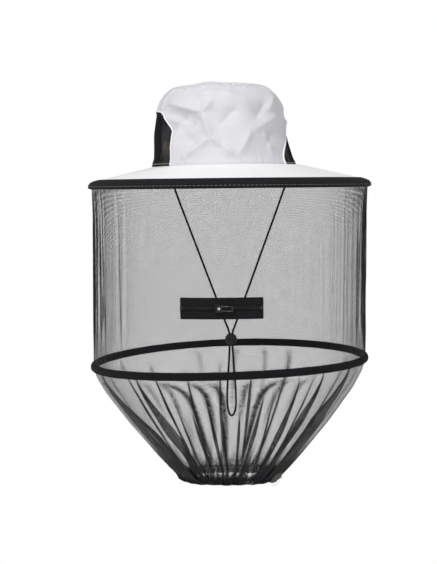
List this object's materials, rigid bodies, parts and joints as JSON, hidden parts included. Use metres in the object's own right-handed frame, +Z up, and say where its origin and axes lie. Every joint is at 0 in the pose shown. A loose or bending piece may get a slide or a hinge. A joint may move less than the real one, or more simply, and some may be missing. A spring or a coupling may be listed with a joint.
{
  "type": "beekeeping hat with veil",
  "caption": "Ventilated fabric hat with a wide brim, a hanging net veil with a hoop, a front zip, a gathered neck and a chin cord.",
  "frame": {"origin": "centre of the head opening at the base of the crown", "axes": "+Z up through the crown, front of the veil with the zip towards -Y, +X to the viewer's right from the front"},
  "size_m": [0.3438, 0.3451, 0.487],
  "materials": {
    "crown_fabric": "light polyester, softly creased",
    "vent_mesh": "black knitted diamond mesh",
    "piping": "white piping",
    "lining_tape": "pale woven tape",
    "sweatband": "padded cotton band",
    "brim_fabric": "white plain weave",
    "board": "flexible white board",
    "binding": "ribbed black tape with a row of stitches",
    "spring_steel": "drawn spring wire",
    "tulle": "see-through black tulle",
    "black_tape": "black woven tape",
    "elastic": "woven elastic",
    "label": "small blank woven tab",
    "zip_tape": "black woven zip tape",
    "zip_coil": "black nylon coil",
    "zip_metal": "cast metal, black, worn to silver on its crown",
    "cord": "black braided cord",
    "lock_plastic": "black moulded plastic"
  },
  "bodies": {
    "hat": {"crown_top": "crown_fabric", "crown_front": "crown_fabric", "crown_back": "crown_fabric", "crown_side_left": "crown_fabric", "crown_side_right": "crown_fabric", "vent_mesh_left": "vent_mesh", "vent_mesh_right": "vent_mesh", "vent_piping_left": "piping", "vent_piping_right": "piping", "crown_seam_binding": "lining_tape", "sweatband": "sweatband", "brim_top_fabric": "brim_fabric", "brim_stiffener": "board", "brim_bottom_fabric": "brim_fabric", "brim_edge_wire": "spring_steel", "brim_edge_binding": "binding", "veil_top_tape": "black_tape", "veil_net_upper": "tulle", "veil_side_seam": "black_tape", "cord_anchor_left": "black_tape", "cord_anchor_right": "black_tape"},
    "hoop": {"hoop_wire": "spring_steel", "hoop_ferrule": "spring_steel", "hoop_sleeve": "black_tape", "veil_net_skirt": "tulle"},
    "neck_hem": {"neck_hem_casing": "black_tape", "neck_elastic": "elastic", "care_label": "label"},
    "zip": {"zip_tape_upper": "zip_tape", "zip_tape_lower": "zip_tape", "zip_coil_upper": "zip_coil", "zip_coil_lower": "zip_coil", "zip_stop_left": "zip_metal", "zip_stop_right": "zip_metal"},
    "zip_slider": {"zip_slider_body": "zip_metal"},
    "zip_puller": {"zip_puller": "zip_metal"},
    "chin_cord": {"chin_cord_left": "cord", "chin_cord_right": "cord", "chin_cord_loop": "cord"},
    "cord_lock": {"lock_body": "lock_plastic", "lock_spring": "spring_steel"},
    "lock_button": {"lock_button": "lock_plastic"}
  },
  "joints": [
    {"name": "veil_lift", "type": "slide", "parent": "hat", "child": "hoop", "axis": [0, 0, 1], "range_m": [0, 0.15], "deforming": ["veil_net_upper", "veil_side_seam"]},
    {"name": "neck_lift", "type": "slide", "parent": "hoop", "child": "neck_hem", "axis": [0, 0, 1], "range_m": [0, 0.11], "deforming": ["veil_net_skirt"]},
    {"name": "zip_ride", "type": "slide", "parent": "hat", "child": "zip", "axis": [0, 0, 1], "range_m": [0, 0.0976]},
    {"name": "zip_slide", "type": "hinge", "parent": "zip", "child": "zip_slider", "pos_m": [0, 0, -0.1614], "axis": [0, 0, 1], "range_deg": [-12.1, 13.1]},
    {"name": "puller_flip", "type": "hinge", "parent": "zip_slider", "child": "zip_puller", "pos_m": [-0.0132, -0.17149, -0.1614], "axis": [0, 0, -1], "range_deg": [0, 180]},
    {"name": "chin_swing", "type": "hinge", "parent": "hat", "child": "chin_cord", "pos_m": [0, 0, -0.007], "axis": [1, 0, 0], "range_deg": [-12, 12]},
    {"name": "lock_slide", "type": "slide", "parent": "chin_cord", "child": "cord_lock", "axis": [0, 0, 1], "range_m": [-0.018, 0], "deforming": ["chin_cord_loop"]},
    {"name": "lock_press", "type": "slide", "parent": "cord_lock", "child": "lock_button", "axis": [0, 1, 0], "range_m": [0, 0.0024], "stiffness_N_per_m": 300, "springref_m": -0.002, "deforming": ["lock_spring"]}
  ],
  "couplings": [
    {"joint": "zip_ride", "follows": "veil_lift", "ratio": 0.65}
  ]
}
